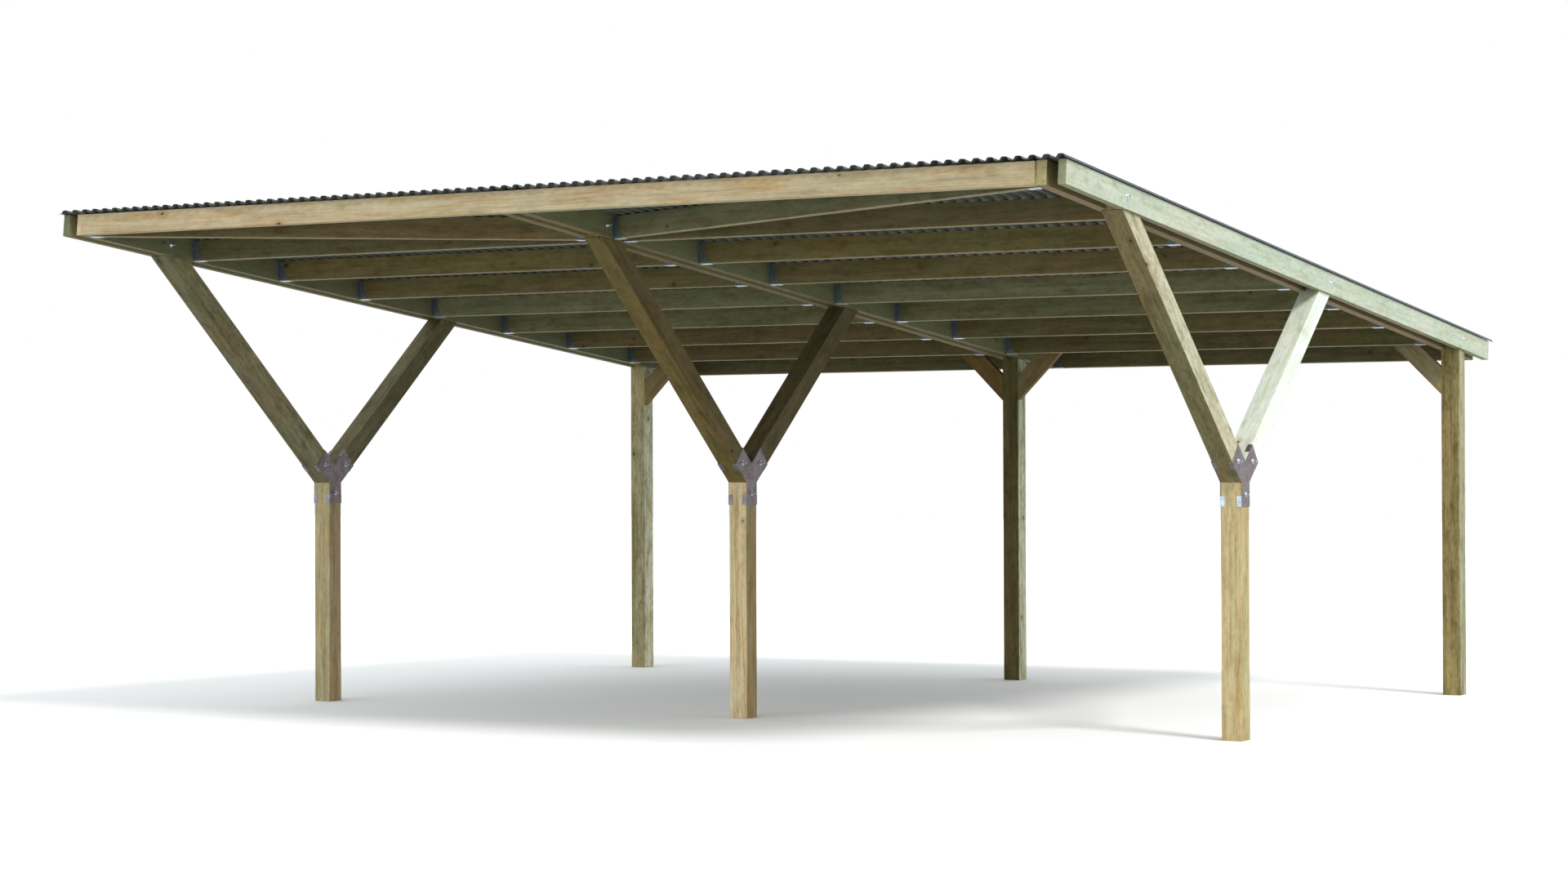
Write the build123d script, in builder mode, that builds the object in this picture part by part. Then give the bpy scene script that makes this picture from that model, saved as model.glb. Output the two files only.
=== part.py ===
# Timber carport for two cars: three frames of posts and twin beams, purlins and a steel sheet roof.
# X runs along the front, Y to the back and Z up. The origin is at the middle of the footprint.
import os
from math import cos, radians, sin, tan

from build123d import *

os.makedirs("parts", exist_ok=True)

# roof slope, falling to the back
SLOPE = radians(5.7)

# timber sections
POST = 120
DEPTH = 126
OUTER_BEAM = 45
INNER_BEAM = 58
BOARD = 45

# the tongue on posts and arms stands between the twin beams of a frame
TONGUE = 60
TONGUE_DROP = 6

# the middle frame stands off the centre, and each front post off the common line
MIDDLE_OFFSET = -36
FRONT_POST_OFFSET = {"left": 0, "middle": 40, "right": -30}

# the beams lie on the slope and their front end is cut square to it
BEAM_UNDERSIDE = 2873
BEAM_LENGTH = 6740

# posts, measured back from the front end of the beams
FRONT_POST_Y = 2323
FRONT_POST_HEIGHT = 1416
REAR_POST_Y = 6124
FRONT_ARM_ANGLE = radians(41.2)
REAR_ARM_ANGLE = radians(40.0)

# boards between the frames, measured down the slope
FASCIA_PROUD = 18
FASCIA_DROP = 6
ROW_START = 972
ROW_PITCH = 821
ROWS = 7
BRACE_GAP = 12
BRACE_TO_ROW = 72

# knee braces on the rear posts
KNEE_DROP = 297
KNEE_ANGLE = radians(45)

# folded steel of the Y brackets
PLATE = 3
STEM_DROP = 135
BRACKET_REACH = 170
TAB_WIDTH = 25
TAB_LENGTH = 60

# folded steel of the joist hangers
HANGER = 2
HANGER_HEIGHT = 118
HANGER_LEG = 72
HANGER_LEG_TOP = 34
HANGER_SLANT = 55
HANGER_FLANGE = 32
FLANGE_SLANT = 45

# trapezoid roof sheets, overlapping crest on crest
SHEET = 0.7
CREST_PITCH = 76
CREST_TOP = 26
CREST_WEB = 12
CREST_HEIGHT = 18
SHEETS = 6
PITCHES = 14
CREST_SHIFT = 12
EDGE_STRIP = 13
SIDE_OVERHANG = 10
FRONT_OVERHANG = 40
REAR_OVERHANG = 65

# places worked out from the sizes above
ROOF_TOP = DEPTH + CREST_HEIGHT + 2 * SHEET
ROOF_FRONT = -FRONT_OVERHANG
ROOF_REAR = BEAM_LENGTH + REAR_OVERHANG
ROOF_HALF = CREST_PITCH * PITCHES * SHEETS / 2 + CREST_TOP / 2 + CREST_WEB + EDGE_STRIP
FRONT_Y = -((ROOF_FRONT + ROOF_REAR) * cos(SLOPE) + (DEPTH + ROOF_TOP) * sin(SLOPE)) / 2
BEAM_FACE = TONGUE / 2 + INNER_BEAM
OUTER_FACE = TONGUE / 2 + OUTER_BEAM
OUTER_FRAME = ROOF_HALF - SIDE_OVERHANG - OUTER_FACE
FRAME_X = {"left": -OUTER_FRAME, "middle": MIDDLE_OFFSET, "right": OUTER_FRAME}
FASCIA_BACK = BOARD - FASCIA_PROUD
BRACE_REACH = ROW_START - BRACE_TO_ROW
INNER_FACE = {
    "left": FRAME_X["left"] + BEAM_FACE,
    "middle_left": FRAME_X["middle"] - BEAM_FACE,
    "middle_right": FRAME_X["middle"] + BEAM_FACE,
    "right": FRAME_X["right"] - BEAM_FACE,
}
BAYS = [(INNER_FACE["left"], INNER_FACE["middle_left"]), (INNER_FACE["middle_right"], INNER_FACE["right"])]


def roof_plane(height=0):
    """Plane on the roof slope: x across, y down the slope from the beams' front end, z square to it."""
    origin = (0, FRONT_Y + height * sin(SLOPE), BEAM_UNDERSIDE + height * cos(SLOPE))
    return Plane(origin=origin, x_dir=(1, 0, 0), z_dir=(0, sin(SLOPE), cos(SLOPE)))


def cross_plane(y, height):
    """Plane across the slope, a distance down it: x across, y square to the slope, z up the slope."""
    along = Vector(0, cos(SLOPE), -sin(SLOPE))
    origin = roof_plane(height).origin + along * y
    return Plane(origin=origin, x_dir=(1, 0, 0), z_dir=-along)


def side_plane(x):
    """Upright plane across the front-to-back direction: x to the back, y up."""
    return Plane(origin=(x, 0, 0), x_dir=(0, 1, 0), z_dir=(1, 0, 0))


def beam_line(y, height=0):
    """Point of the side plane on the slope, a height square above the beams' underside."""
    return (y, BEAM_UNDERSIDE - (y - FRONT_Y) * tan(SLOPE) + height / cos(SLOPE))


def meet_slope(point, direction, height=0):
    """Where a line in the side plane meets the slope at a height above the beams' underside."""
    start = Vector(*point)
    rise = beam_line(start.X, height)[1] - start.Y
    distance = rise / (direction.Y + direction.X * tan(SLOPE))
    meeting = start + direction * distance
    return (meeting.X, meeting.Y)


def save(part, name):
    part.label = name
    export_step(part, f"parts/{name}.step")


def board(x_from, x_to, y_from, y_to, depth=DEPTH):
    """Straight board on the slope, standing on edge and level with the beams' underside."""
    with BuildPart() as piece:
        with BuildSketch(roof_plane()):
            with Locations(((x_from + x_to) / 2, (y_from + y_to) / 2)):
                Rectangle(x_to - x_from, y_to - y_from)
        extrude(amount=depth)
    return piece.part


def front_post(x, y):
    with BuildPart() as post:
        with BuildSketch(Plane.XY):
            with Locations((x, y + POST / 2)):
                Rectangle(POST, POST)
        extrude(amount=FRONT_POST_HEIGHT)
    return post.part


def rear_post(x, y):
    """Post with two shoulders under the beams and a tongue between them."""
    back = y + POST
    with BuildPart() as post:
        with BuildSketch(side_plane(x)):
            Polygon((y, 0), (back, 0), beam_line(back), beam_line(y), align=None)
        extrude(amount=POST / 2, both=True)
        top = DEPTH - TONGUE_DROP
        with BuildSketch(side_plane(x)):
            Polygon(beam_line(y), beam_line(back), beam_line(back, top), beam_line(y, top), align=None)
        extrude(amount=TONGUE / 2, both=True)
    return post.part


def arm_lines(y, side):
    """Foot, middle, direction and depth direction of a front (-1) or rear (1) arm in the side plane."""
    angle = FRONT_ARM_ANGLE if side < 0 else REAR_ARM_ANGLE
    foot = (y + POST / 2 + side * POST / 2, FRONT_POST_HEIGHT)
    along = Vector(side * cos(angle), sin(angle))
    across = Vector(-side * sin(angle), cos(angle))
    return foot, y + POST / 2, along, across


def arm(x, y, side):
    """Arm standing on half of the post's top, with shoulders under the beams and a tongue between them."""
    foot, middle, along, across = arm_lines(y, side)
    upper = Vector(*foot) + across * DEPTH
    crotch = upper + along * ((middle - upper.X) / along.X)
    outer = meet_slope(foot, along)
    inner = meet_slope((upper.X, upper.Y), along)
    top = DEPTH - TONGUE_DROP
    tip_outer = meet_slope(foot, along, top)
    tip_inner = meet_slope((upper.X, upper.Y), along, top)
    with BuildPart() as piece:
        with BuildSketch(side_plane(x)):
            Polygon(foot, outer, inner, (crotch.X, crotch.Y), (middle, FRONT_POST_HEIGHT), align=None)
        extrude(amount=POST / 2, both=True)
        with BuildSketch(side_plane(x)):
            Polygon(outer, tip_outer, tip_inner, inner, align=None)
        extrude(amount=TONGUE / 2, both=True)
    return piece.part


def tab(corner, along, outward):
    """Outline of a folded tab seen edge on, lying outside an edge of the plate from one of its corners."""
    end = corner + along * TAB_LENGTH
    face = outward * PLATE
    return [(p.X, p.Y) for p in (corner, end, end + face, corner + face)]


def bracket_plate(x, y, hand):
    """One Y-shaped side plate on the hand (-1 left, 1 right) face, with six tabs folded over the timber."""
    bottom = FRONT_POST_HEIGHT - STEM_DROP
    front = y
    back = y + POST
    outline = [(front, bottom), (back, bottom)]
    tabs = []
    for side in (1, -1):
        foot, middle, along, across = arm_lines(y, side)
        upper = Vector(*foot) + across * DEPTH
        crotch = upper + along * ((middle - upper.X) / along.X)
        reach = along * BRACKET_REACH
        low_tip = Vector(*foot) + reach
        high_tip = upper + reach
        ends = [foot, (low_tip.X, low_tip.Y), (high_tip.X, high_tip.Y), (crotch.X, crotch.Y)]
        outline += ends[::side]
        tabs.append(tab(low_tip, along * -1, across * -1))
        tabs.append(tab(high_tip, along * -1, across))
    tabs.append(tab(Vector(front, bottom), Vector(0, 1), Vector(-1, 0)))
    tabs.append(tab(Vector(back, bottom), Vector(0, 1), Vector(1, 0)))
    with BuildPart() as plate:
        with BuildSketch(side_plane(x + hand * POST / 2)):
            Polygon(*outline, align=None)
        extrude(amount=hand * PLATE)
        with BuildSketch(side_plane(x + hand * (POST / 2 + PLATE))):
            for points in tabs:
                Polygon(*points, align=None)
        extrude(amount=-hand * (PLATE + TAB_WIDTH))
    return plate.part


def hanger(face, y, hand, skew=0.0, flanges=(-1, 1)):
    """Joist hanger on a beam's face: a bottom plate, two legs that narrow upward and the nailed flanges.

    The board leaves the face toward hand and runs back by skew for each millimetre across.
    """
    half = BOARD / 2 * (1 + skew * skew) ** 0.5
    edge = half + HANGER * (1 + skew * skew) ** 0.5
    far = face + hand * HANGER_LEG
    narrow = face + hand * HANGER_LEG_TOP
    clear = far + hand * HANGER
    shift = skew * HANGER_LEG
    top = HANGER_HEIGHT + HANGER
    along = (0, cos(SLOPE), -sin(SLOPE))
    legs = [(side, y + side * half, y + side * edge) for side in (-1, 1)]
    with BuildPart() as piece:
        with BuildSketch(roof_plane(-HANGER)):
            for _, inner, outer in legs:
                Polygon((face, inner), (far, inner + shift), (far, outer + shift), (face, outer), align=None)
        extrude(amount=top)
        with BuildSketch(cross_plane(y, 0)):
            Polygon((narrow, HANGER_SLANT), (far, 0), (clear, 0), (clear, top), (narrow, top), align=None)
        extrude(amount=edge + abs(shift) + HANGER, both=True, mode=Mode.SUBTRACT)
        with BuildSketch(roof_plane(-HANGER)):
            Polygon((face, y - edge), (far, y - edge + shift), (far, y + edge + shift), (face, y + edge), align=None)
        extrude(amount=HANGER)
        with BuildSketch(Plane(origin=roof_plane().origin + Vector(face, 0, 0), x_dir=along, z_dir=(1, 0, 0))):
            for side, inner, outer in legs:
                if side in flanges:
                    root = (inner + outer) / 2
                    tip = outer + side * HANGER_FLANGE
                    low = ((root, -HANGER), (outer, -HANGER), (tip, FLANGE_SLANT))
                    Polygon(*low, (tip, HANGER_HEIGHT), (root, HANGER_HEIGHT), align=None)
        extrude(amount=hand * HANGER)
    return piece.part


def sheet_path(first, starts_roof, ends_roof):
    """Underside of a sheet from its first crest to its last, across the slope.

    The first crest is a sheet's thickness higher where it laps over the sheet before.
    """
    flat = CREST_TOP / 2
    foot = flat + CREST_WEB
    lap = 0 if starts_roof else SHEET
    path = [(first - flat, CREST_HEIGHT + lap), (first + flat, CREST_HEIGHT + lap), (first + foot, 0)]
    if starts_roof:
        path = [(-ROOF_HALF, 0), (first - foot, 0)] + path
    for pitch in range(1, PITCHES + 1):
        crest = first + CREST_PITCH * pitch
        path += [(crest - foot, 0), (crest - flat, CREST_HEIGHT), (crest + flat, CREST_HEIGHT), (crest + foot, 0)]
    if ends_roof:
        return path + [(ROOF_HALF, 0)]
    return path[:-1]


# posts and arms
for frame, frame_x in FRAME_X.items():
    front_y = FRONT_Y + FRONT_POST_Y + FRONT_POST_OFFSET[frame]
    save(front_post(frame_x, front_y), f"front_post_{frame}")
    save(arm(frame_x, front_y, -1), f"front_arm_{frame}")
    save(arm(frame_x, front_y, 1), f"rear_arm_{frame}")
    save(rear_post(frame_x, FRONT_Y + REAR_POST_Y), f"rear_post_{frame}")
    plates = [bracket_plate(frame_x, front_y, hand) for hand in (-1, 1)]
    save(Compound(children=plates), f"y_bracket_{frame}")

# twin beams of the three frames
left_x = FRAME_X["left"]
middle_x = FRAME_X["middle"]
right_x = FRAME_X["right"]
save(board(left_x - OUTER_FACE, left_x - TONGUE / 2, 0, BEAM_LENGTH), "beam_left_outer")
save(board(left_x + TONGUE / 2, left_x + BEAM_FACE, 0, BEAM_LENGTH), "beam_left_inner")
save(board(middle_x - BEAM_FACE, middle_x - TONGUE / 2, FASCIA_BACK, BEAM_LENGTH), "beam_middle_left")
save(board(middle_x + TONGUE / 2, middle_x + BEAM_FACE, FASCIA_BACK, BEAM_LENGTH), "beam_middle_right")
save(board(right_x - BEAM_FACE, right_x - TONGUE / 2, 0, BEAM_LENGTH), "beam_right_inner")
save(board(right_x + TONGUE / 2, right_x + OUTER_FACE, 0, BEAM_LENGTH), "beam_right_outer")

# front fascia between the two outer frames
fascia = board(INNER_FACE["left"], INNER_FACE["right"], -FASCIA_PROUD, FASCIA_BACK, DEPTH - FASCIA_DROP)
save(fascia, "front_fascia")

# purlins and the rear board, each in two lengths between the frames
row_y = [ROW_START + ROW_PITCH * row for row in range(ROWS)]
for row, y in enumerate(row_y, start=1):
    lengths = [board(x_from, x_to, y, y + BOARD) for x_from, x_to in BAYS]
    save(Compound(children=lengths), f"purlin_row_{row}")
rear_y = BEAM_LENGTH - BOARD
rear_lengths = [board(x_from, x_to, rear_y, BEAM_LENGTH) for x_from, x_to in BAYS]
save(Compound(children=rear_lengths), "rear_board")

# wind braces from the front corners to the middle frame, with ends mitred to the beams
brace_skews = {}
brace_start = {}
for name, outer_x, inner_x in (
    ("left", INNER_FACE["left"], INNER_FACE["middle_left"]),
    ("right", INNER_FACE["right"], INNER_FACE["middle_right"]),
):
    span = abs(inner_x - outer_x)
    start_y = FASCIA_BACK + BRACE_GAP + BOARD / 2
    skew = (BRACE_REACH - start_y) / span
    half = BOARD / 2 * (1 + skew * skew) ** 0.5
    brace_skews[name] = skew
    brace_start[name] = start_y
    with BuildPart() as brace:
        with BuildSketch(roof_plane()):
            Polygon(
                (outer_x, start_y - half),
                (inner_x, BRACE_REACH - half),
                (inner_x, BRACE_REACH + half),
                (outer_x, start_y + half),
                align=None,
            )
        extrude(amount=DEPTH)
    save(brace.part, f"wind_brace_{name}")

# knee braces from the rear posts up to the underside of the roof
front_face = FRONT_Y + REAR_POST_Y
knee_foot = beam_line(front_face)[1] - KNEE_DROP
for name, post_x, hand in (
    ("left", left_x, 1),
    ("middle_left", middle_x, -1),
    ("middle_right", middle_x, 1),
    ("right", right_x, -1),
):
    face_x = post_x + hand * POST / 2
    roof_z = beam_line(front_face, DEPTH)[1]
    knee_high = knee_foot + DEPTH / cos(KNEE_ANGLE)
    low_run = (roof_z - knee_foot) / tan(KNEE_ANGLE)
    high_run = (roof_z - knee_high) / tan(KNEE_ANGLE)
    with BuildPart() as knee:
        with BuildSketch(Plane(origin=(0, front_face, 0), x_dir=(1, 0, 0), z_dir=(0, -1, 0))):
            Polygon(
                (face_x, knee_foot),
                (face_x + hand * low_run, roof_z),
                (face_x + hand * high_run, roof_z),
                (face_x, knee_high),
                align=None,
            )
        extrude(amount=-BOARD)
        split(bisect_by=roof_plane(DEPTH), keep=Keep.BOTTOM)
    save(knee.part, f"knee_brace_{name}")

# joist hangers, all those on one frame in one node
purlin_middles = [y + BOARD / 2 for y in row_y]
brace_ends = {
    "left": (brace_start["left"], brace_skews["left"], (1,)),
    "middle_left": (BRACE_REACH, -brace_skews["left"], (-1,)),
    "middle_right": (BRACE_REACH, -brace_skews["right"], (-1,)),
    "right": (brace_start["right"], brace_skews["right"], (1,)),
}
for frame in FRAME_X:
    hangers = []
    for face, face_x in INNER_FACE.items():
        if face.split("_")[0] == frame:
            hand = 1 if face in ("left", "middle_right") else -1
            end_y, skew, flanges = brace_ends[face]
            hangers += [hanger(face_x, y, hand) for y in purlin_middles]
            hangers.append(hanger(face_x, rear_y + BOARD / 2, hand, flanges=(-1,)))
            hangers.append(hanger(face_x, end_y, hand, skew, flanges))
    save(Compound(children=hangers), f"joist_hangers_{frame}")

# roof sheets, each lapped over the last crest of the one to its left
for number in range(SHEETS):
    first = CREST_SHIFT + CREST_PITCH * PITCHES * (number - SHEETS / 2)
    with BuildPart() as sheet:
        with BuildSketch(cross_plane(ROOF_REAR, DEPTH)):
            with BuildLine():
                Polyline(*sheet_path(first, number == 0, number == SHEETS - 1))
                offset(amount=SHEET, side=Side.LEFT, kind=Kind.INTERSECTION)
            make_face()
        extrude(amount=ROOF_REAR - ROOF_FRONT)
    save(sheet.part, f"roof_sheet_{number + 1}")
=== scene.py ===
"""Looks of the timber carport: eased boards with pine grain, folded steel, fasteners and a ribbed roof.

X runs along the front, Y to the back and Z up, in metres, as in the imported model.
"""
import math

import bpy
import numpy as np
from mathutils import Matrix


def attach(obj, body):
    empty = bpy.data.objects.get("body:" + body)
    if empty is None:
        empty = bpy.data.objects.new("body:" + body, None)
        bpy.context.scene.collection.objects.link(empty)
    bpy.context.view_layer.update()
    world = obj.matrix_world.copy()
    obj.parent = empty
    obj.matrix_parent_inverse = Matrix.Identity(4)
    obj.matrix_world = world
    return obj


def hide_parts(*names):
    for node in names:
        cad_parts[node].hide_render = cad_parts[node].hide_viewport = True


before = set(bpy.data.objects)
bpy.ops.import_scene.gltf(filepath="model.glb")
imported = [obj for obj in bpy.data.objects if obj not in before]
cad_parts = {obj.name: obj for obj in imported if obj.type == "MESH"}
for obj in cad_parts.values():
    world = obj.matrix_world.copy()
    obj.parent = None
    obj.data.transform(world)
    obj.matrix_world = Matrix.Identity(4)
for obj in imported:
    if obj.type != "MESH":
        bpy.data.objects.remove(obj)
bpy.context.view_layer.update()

# sizes of the construction, in metres, as the part's source has them
SLOPE = math.radians(5.7)
POST = 0.120
DEPTH = 0.126
OUTER_BEAM = 0.045
INNER_BEAM = 0.058
BOARD = 0.045
TONGUE = 0.060
TONGUE_TOP = DEPTH - 0.006
FRAME_X = {"left": -3.145, "middle": -0.036, "right": 3.145}
UNDERSIDE = 2.873
BEAM_LENGTH = 6.740
FRONT_Y = -3.37925
FRONT_POST_OFFSET = {"left": 0.0, "middle": 0.040, "right": -0.030}
FRONT_POST_Y = {name: FRONT_Y + 2.323 + offset for name, offset in FRONT_POST_OFFSET.items()}
FRONT_POST_HEIGHT = 1.416
REAR_POST_Y = FRONT_Y + 6.124
ARM_ANGLE = {-1: math.radians(41.2), 1: math.radians(40.0)}
BEAM_FACE = TONGUE / 2 + INNER_BEAM
OUTER_FACE = TONGUE / 2 + OUTER_BEAM
FASCIA_PROUD = 0.018
FASCIA_BACK = BOARD - FASCIA_PROUD
FASCIA_DEPTH = DEPTH - 0.006
ROW_START = 0.972
ROW_PITCH = 0.821
ROW_COUNT = 7
ROWS = ROW_START + ROW_PITCH * np.arange(ROW_COUNT)
BRACE_GAP = 0.012
BRACE_START = FASCIA_BACK + BRACE_GAP + BOARD / 2
BRACE_REACH = ROWS[0] - 0.072
KNEE_FOOT = UNDERSIDE - (REAR_POST_Y - FRONT_Y) * math.tan(SLOPE) - 0.297
PLATE = 0.003
STEM_DROP = 0.135
BRACKET_REACH = 0.170
TAB_WIDTH = 0.025
TAB_LENGTH = 0.060
HANGER = 0.002
HANGER_HEIGHT = 0.118
HANGER_LEG = 0.072
HANGER_LEG_TOP = 0.034
HANGER_SLANT = 0.055
HANGER_FLANGE = 0.032
FLANGE_SLANT = 0.045
SHEET = 0.0007
CREST_PITCH = 0.076
CREST_TOP = 0.026
CREST_WEB = 0.012
CREST_HEIGHT = 0.018
SHEETS = 6
PITCHES = 14
CREST_SHIFT = 0.012
ROOF_HALF = 3.230
ROOF_FRONT = -0.040
ROOF_REAR = BEAM_LENGTH + 0.065
ROOF_STATIONS = 9
FOLD_RADIUS = 0.004
FOLD_SHARE = 0.45
FOLD_STEPS = 4
# the beam faces that look into the two bays, and which way each looks
FACING = {"left": 1, "middle_left": -1, "middle_right": 1, "right": -1}
INNER_FACE = {face: FRAME_X[face.split("_")[0]] + hand * BEAM_FACE for face, hand in FACING.items()}
BAYS = ((INNER_FACE["left"], INNER_FACE["middle_left"]), (INNER_FACE["middle_right"], INNER_FACE["right"]))

# sawn and planed edges of the boards, and of the sheet steel
EASE = 0.003
STEEL_EASE = 0.0007
TAB_EASE = STEEL_EASE * 1.4
# points of one outline closer than this, in metres, are made one
SAME_POINT = 1e-7

# fasteners and nail holes: where they stand on their pieces, and how large they are
HOLE_WIDTH = 0.0115
HOLE_LENGTH = 0.019
HOLE_START = (0.004, 0.006)
NAIL_HEIGHTS = (0.057, 0.082, 0.107)
NAIL_REACH = 0.022
STEM_BOLT = 0.068
ARM_BOLT = np.array((0.46 * DEPTH, 0.109))
JOINT_HEIGHT = 0.52 * DEPTH
BRACKET_BOLT_SIZE = 0.0125
BEAM_BOLT_SIZE = 0.014
FIRST_SCREW = 0.005

# turned profiles, each point a radius and a height; a bolt's parts are shares of its size, with their sides
NAIL_HEAD = ((0.0038, 0.0), (0.0036, 0.0009), (0.0018, 0.0016))
SCREW_WASHER = ((0.0098, 0.0), (0.0098, 0.0012), (0.0075, 0.0026))
SCREW_HEAD = ((0.0048, 0.0024), (0.0048, 0.0068), (0.0038, 0.0078))
BOLT_PARTS = (
    (((1.15, 0.0), (1.18, 0.06), (1.1, 0.16)), 20),
    (((0.82, 0.14), (0.82, 0.62), (0.66, 0.76)), 6),
    (((0.42, 0.7), (0.42, 1.75), (0.34, 1.86)), 12),
)

# directions: across the roof, down the slope and square to it
ACROSS = np.array((1.0, 0.0, 0.0))
DOWN = np.array((0.0, math.cos(SLOPE), -math.sin(SLOPE)))
SQUARE = np.array((0.0, math.sin(SLOPE), math.cos(SLOPE)))
BACK = np.array((0.0, 1.0, 0.0))
UP = np.array((0.0, 0.0, 1.0))
ROOF_ORIGIN = np.array((0.0, FRONT_Y, UNDERSIDE))

# the treated pine of each piece in sRGB: its main shade, the wood's own tone with some painted light and
# shade, and the painted light and shade of single faces, lighter or darker for how light falls on them
PAINT = {
    "front_post_left": {"main": (177, 166, 133), "right": (189, 169, 135)},
    "front_post_middle": {"main": (222, 203, 168), "right": (164, 148, 113)},
    "front_post_right": {"main": (197, 180, 140), "right": (180, 170, 133)},
    "rear_post_left": {"main": (167, 159, 126), "right": (217, 218, 199)},
    "rear_post_middle": {"main": (97, 89, 49), "right": (203, 205, 182)},
    "rear_post_right": {"main": (155, 140, 96), "right": (156, 156, 131)},
    "front_arm_left": {"main": (118, 113, 88), "right": (158, 152, 122)},
    "rear_arm_left": {"main": (119, 113, 86)},
    "front_arm_middle": {"main": (113, 100, 60), "right": (109, 97, 63)},
    "rear_arm_middle": {"main": (99, 90, 61)},
    "front_arm_right": {"main": (129, 120, 90), "right": (184, 179, 160)},
    # painted sunlight on the rear right arm: its pale main shade, with a painted shadier front
    "rear_arm_right": {"main": (223, 233, 230), "front": (192, 191, 166)},
    "beam_left_outer": {"main": (129, 131, 98), "right": (150, 139, 104),
                        "front": (102, 112, 84), "under": (112, 110, 82)},
    "beam_left_inner": {"main": (122, 124, 96), "front": (196, 178, 142), "under": (120, 110, 82)},
    "beam_middle_left": {"main": (139, 131, 97), "under": (118, 102, 68)},
    "beam_middle_right": {"main": (122, 124, 92), "under": (112, 98, 66)},
    "beam_right_inner": {"main": (164, 154, 112), "right": (116, 98, 70),
                         "front": (162, 154, 114), "under": (138, 121, 92)},
    "beam_right_outer": {"main": (182, 191, 179), "front": (131, 136, 110), "under": (150, 148, 122)},
    "front_fascia": {"main": (171, 157, 130), "under": (196, 184, 158)},
    "purlin_row_1": {"main": (113, 103, 74), "under": (158, 149, 132)},
    "purlin_row_2": {"main": (125, 114, 76), "under": (158, 149, 132)},
    "purlin_row_3": {"main": (123, 111, 77), "under": (162, 153, 134)},
    "purlin_row_4": {"main": (133, 132, 104), "under": (156, 151, 132)},
    "purlin_row_5": {"main": (130, 127, 96), "under": (152, 145, 126)},
    "purlin_row_6": {"main": (119, 108, 74), "under": (150, 142, 122)},
    "purlin_row_7": {"main": (110, 99, 68), "under": (146, 138, 118)},
    "rear_board": {"main": (108, 100, 72), "under": (128, 120, 96)},
    "wind_brace_left": {"main": (129, 114, 82), "under": (160, 148, 124)},
    "wind_brace_right": {"main": (122, 122, 96), "under": (160, 152, 128)},
    "knee_brace_left": {"main": (134, 118, 80)},
    "knee_brace_middle_left": {"main": (118, 92, 50)},
    "knee_brace_middle_right": {"main": (128, 112, 76)},
    "knee_brace_right": {"main": (149, 138, 106)},
}
# the faces that take painted light and shade, by the way they look
FACES = {"right": (1, 0, 0), "front": (0, -1, 0), "under": (0, 0, -1)}


def linear(shade):
    """Linear colour of an sRGB shade from 0 to 255."""
    value = np.array(shade) / 255.0
    return np.where(value <= 0.04045, value / 12.92, ((value + 0.055) / 1.055) ** 2.4)


def tone(*shade):
    """A shade as a shader node takes it."""
    return (*linear(shade), 1.0)


# shapes


def unit(vectors):
    return vectors / np.linalg.norm(vectors, axis=-1, keepdims=True)


def ring_faces(rings, count):
    """Quads between rings of points, and a cap on the first and on the last."""
    index = np.arange(rings * count).reshape(rings, count)
    following = np.roll(index, -1, axis=1)
    quads = np.stack((index[:-1], following[:-1], following[1:], index[1:]), -1).reshape(-1, 4)
    return [tuple(face) for face in (*quads.tolist(), index[0, ::-1].tolist(), index[-1].tolist())]


def anticlockwise(outline):
    """The outline, turned round where the sum of its cross products is negative."""
    outline = np.asarray(outline, float)
    after = np.roll(outline, -1, axis=0)
    area = np.sum(outline[:, 0] * after[:, 1] - outline[:, 1] * after[:, 0])
    return outline if area > 0 else outline[::-1]


def lifted(flat, height):
    """Rings of flat points or directions, with a height for each ring."""
    return np.concatenate((flat, np.broadcast_to(height[:, None, None], flat.shape[:2] + (1,))), 2)


def eased_prism(outline, thickness, ease, steps=3):
    """A flat piece with rounded edges: an outline carried along a quarter-round edge profile.

    Each corner becomes an arc of radius ease. Rings of the outline are inset by ease (1 - sin a) at a
    height of ease (1 - cos a) for a from 0 to 90 degrees, and again from the other face.
    Points that fall together where an arc shrinks to its corner are made one.
    """
    corner = anticlockwise(outline)
    before = unit(corner - np.roll(corner, 1, axis=0))
    after = unit(np.roll(corner, -1, axis=0) - corner)
    normal_in = np.stack((before[:, 1], -before[:, 0]), 1)
    normal_out = np.stack((after[:, 1], -after[:, 0]), 1)
    turn = before[:, 0] * after[:, 1] - before[:, 1] * after[:, 0]
    hand = np.where(turn > 0, 1.0, -1.0)
    share = np.linspace(0, 1, steps)[None, :, None]
    normal = unit(normal_in[:, None] * (1 - share) + normal_out[:, None] * share).reshape(-1, 2)
    mitre = (normal_in + normal_out) / (1 + np.sum(normal_in * normal_out, 1))[:, None]
    centre = corner - mitre * ease * hand[:, None]
    angle = np.linspace(0, math.pi / 2, steps)
    side = np.concatenate((np.sin(angle), np.sin(angle)[::-1]))
    lean = np.concatenate((-np.cos(angle), np.cos(angle)[::-1]))
    height = ease * (1 - np.cos(angle))
    height = np.concatenate((height, (thickness - height)[::-1]))
    radius = ease * np.repeat(hand, steps) - ease * (1 - side)[:, None]
    ring = np.repeat(centre, steps, axis=0) + normal * radius[..., None]
    points, normals = lifted(ring, height), lifted(normal * side[:, None, None], lean)
    points, normals = points.reshape(-1, 3), normals.reshape(-1, 3)
    wear = np.repeat(np.sin(2 * np.concatenate((angle, angle[::-1]))), ring.shape[1])
    _, first, same = np.unique(np.round(points / SAME_POINT), axis=0, return_index=True, return_inverse=True)
    same = same.reshape(-1)
    faces = [tuple(dict.fromkeys(same[list(face)].tolist())) for face in ring_faces(*ring.shape[:2])]
    return points[first], normals[first], wear[first], [face for face in faces if len(face) > 2]


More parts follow.
